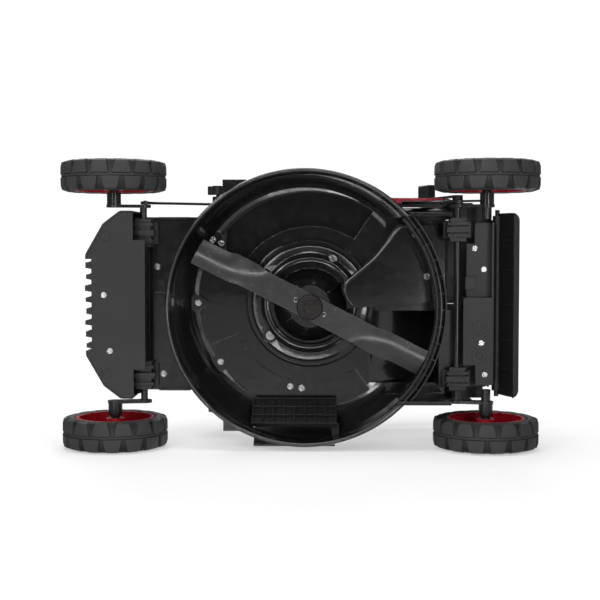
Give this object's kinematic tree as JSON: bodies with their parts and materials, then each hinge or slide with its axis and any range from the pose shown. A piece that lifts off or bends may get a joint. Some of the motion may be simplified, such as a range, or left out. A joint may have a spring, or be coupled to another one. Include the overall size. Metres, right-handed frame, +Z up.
{
  "type": "walk-behind lawn mower",
  "caption": "Walk-behind petrol lawn mower with pressed steel deck, rotary blade, height adjustment, rear discharge and folded handle.",
  "frame": {"origin": "on the ground, midway between the front and rear wheels and between the sides", "axes": "+X towards the front, +Y to the mower's left side, +Z up"},
  "size_m": [0.818, 0.49, 0.418],
  "materials": {
    "gloss_steel": "gloss",
    "black_plastic": "satin",
    "grey_plastic": "satin",
    "zinc_steel": "satin",
    "black_steel": "gloss",
    "blade_steel": "satin",
    "bolt_steel": "satin",
    "engine_metal": "cast",
    "muffler_steel": "satin",
    "tank_plastic": "satin",
    "red_plastic": "gloss",
    "tyre_rubber": "matte",
    "soft_rubber": "matte",
    "plug_ceramic": "gloss"
  },
  "bodies": {
    "chassis": {"air_filter_box": "black_plastic", "axle_brackets": "black_plastic", "blower_shroud": "grey_plastic", "cylinder_head": "engine_metal", "deck_bolts": "zinc_steel", "deck_shell": "gloss_steel", "discharge_chute": "black_plastic", "engine_block": "engine_metal", "engine_bolts": "zinc_steel", "engine_sump": "gloss_steel", "flap_rod": "black_steel", "front_bumper": "black_plastic", "front_underplate": "black_plastic", "fuel_tank": "tank_plastic", "handle_mounts": "gloss_steel", "height_sector": "black_steel", "lever_trim": "red_plastic", "muffler": "muffler_steel", "muffler_guard": "gloss_steel", "oil_filler": "engine_metal", "plate_screws": "zinc_steel", "rear_baffle": "black_plastic", "rear_cover": "black_plastic", "rear_door_rod": "zinc_steel", "rear_panel": "grey_plastic", "recoil_cover": "grey_plastic", "side_door_rod": "zinc_steel", "side_grid": "black_plastic", "spark_plug": "plug_ceramic"},
    "crank": {"blade": "blade_steel", "blade_adapter": "black_steel", "blade_bolt": "bolt_steel", "crankshaft": "bolt_steel", "flywheel": "engine_metal"},
    "front_axle": {"front_axle": "black_steel"},
    "rear_axle": {"rear_axle": "black_steel", "height_lever": "black_plastic"},
    "tie_rod": {"tie_rod": "black_steel"},
    "rear_flap": {"rear_flap": "black_plastic"},
    "rear_door": {"rear_door": "black_plastic"},
    "side_door": {"side_door": "black_plastic"},
    "lower_handle": {"lower_handle": "black_steel"},
    "upper_handle": {"upper_handle": "black_steel", "handle_grip": "soft_rubber", "bail_pins": "zinc_steel"},
    "brake_bail": {"brake_bail": "black_steel"},
    "handle_knob_left": {"handle_knob_left": "black_plastic"},
    "handle_knob_right": {"handle_knob_right": "black_plastic"},
    "starter_grip": {"starter_grip": "black_plastic"},
    "primer_bulb": {"primer_bulb": "soft_rubber"},
    "fuel_cap": {"fuel_cap": "red_plastic"},
    "oil_dipstick": {"oil_dipstick": "red_plastic"},
    "wheel_front_left": {"tyre_front_left": "tyre_rubber", "rim_front_left": "red_plastic"},
    "wheel_front_right": {"tyre_front_right": "tyre_rubber", "rim_front_right": "red_plastic"},
    "wheel_rear_left": {"tyre_rear_left": "tyre_rubber", "rim_rear_left": "red_plastic"},
    "wheel_rear_right": {"tyre_rear_right": "tyre_rubber", "rim_rear_right": "red_plastic"}
  },
  "joints": [
    {"name": "blade_spin", "type": "hinge", "parent": "chassis", "child": "crank", "pos_m": [-0.017, -0.003, 0.06], "axis": [0, 0, 1], "continuous": true},
    {"name": "height_adjust", "type": "hinge", "parent": "chassis", "child": "rear_axle", "pos_m": [-0.27001, 0, 0.1], "axis": [0, -1, 0], "range_deg": [-15, 30]},
    {"name": "front_axle_swing", "type": "hinge", "parent": "chassis", "child": "front_axle", "pos_m": [0.27001, 0, 0.1], "axis": [0, 1, 0], "range_deg": [-15, 30]},
    {"name": "tie_rod_swing", "type": "hinge", "parent": "front_axle", "child": "tie_rod", "pos_m": [0.27001, 0.175, 0.122], "axis": [0, -1, 0], "range_deg": [-15, 30]},
    {"name": "flap_swing", "type": "hinge", "parent": "chassis", "child": "rear_flap", "pos_m": [-0.34, 0, 0.112], "axis": [0, 1, 0], "range_deg": [0, 75]},
    {"name": "rear_door_swing", "type": "hinge", "parent": "chassis", "child": "rear_door", "pos_m": [-0.324, -0.0775, 0.25], "axis": [0, 1, 0], "range_deg": [0, 80]},
    {"name": "side_door_swing", "type": "hinge", "parent": "chassis", "child": "side_door", "pos_m": [0.01, -0.206, 0.151], "axis": [-1, 0, 0], "range_deg": [0, 70]},
    {"name": "lower_handle_fold", "type": "hinge", "parent": "chassis", "child": "lower_handle", "pos_m": [-0.285, 0, 0.172], "axis": [0, -1, 0], "range_deg": [0, 128]},
    {"name": "upper_handle_fold", "type": "hinge", "parent": "lower_handle", "child": "upper_handle", "pos_m": [0.15517, 0, 0.26556], "axis": [0, 1, 0], "range_deg": [0, 156]},
    {"name": "bail_squeeze", "type": "hinge", "parent": "upper_handle", "child": "brake_bail", "pos_m": [-0.21164, 0, 0.34353], "axis": [0, -1, 0], "range_deg": [0, 29], "stiffness_Nm_per_rad": 0.8, "springref_deg": -28.65},
    {"name": "knob_turn_left", "type": "hinge", "parent": "lower_handle", "child": "handle_knob_left", "pos_m": [0.15517, 0.203, 0.26556], "axis": [0, 1, 0], "continuous": true},
    {"name": "knob_turn_right", "type": "hinge", "parent": "lower_handle", "child": "handle_knob_right", "pos_m": [0.15517, -0.203, 0.26556], "axis": [0, 1, 0], "continuous": true},
    {"name": "starter_pull", "type": "slide", "parent": "chassis", "child": "starter_grip", "axis": [0, 0, 1], "range_m": [0, 0.6]},
    {"name": "primer_press", "type": "slide", "parent": "chassis", "child": "primer_bulb", "axis": [-1, 0, 0], "range_m": [0, 0.005], "stiffness_N_per_m": 300, "springref_m": -0.003},
    {"name": "fuel_cap_turn", "type": "hinge", "parent": "chassis", "child": "fuel_cap", "pos_m": [-0.141, 0.026, 0.33], "axis": [0, 0, 1], "range_deg": [0, 90]},
    {"name": "dipstick_pull", "type": "slide", "parent": "chassis", "child": "oil_dipstick", "axis": [0, 0, 1], "range_m": [0, 0.06]},
    {"name": "wheel_spin_front_left", "type": "hinge", "parent": "front_axle", "child": "wheel_front_left", "pos_m": [0.319, 0.2185, 0.09], "axis": [0, 1, 0], "continuous": true},
    {"name": "wheel_spin_front_right", "type": "hinge", "parent": "front_axle", "child": "wheel_front_right", "pos_m": [0.319, -0.2185, 0.09], "axis": [0, 1, 0], "continuous": true},
    {"name": "wheel_spin_rear_left", "type": "hinge", "parent": "rear_axle", "child": "wheel_rear_left", "pos_m": [-0.319, 0.2185, 0.09], "axis": [0, 1, 0], "continuous": true},
    {"name": "wheel_spin_rear_right", "type": "hinge", "parent": "rear_axle", "child": "wheel_rear_right", "pos_m": [-0.319, -0.2185, 0.09], "axis": [0, 1, 0], "continuous": true}
  ],
  "couplings": [
    {"joint": "front_axle_swing", "follows": "height_adjust", "ratio": 1},
    {"joint": "tie_rod_swing", "follows": "height_adjust", "ratio": 1}
  ]
}
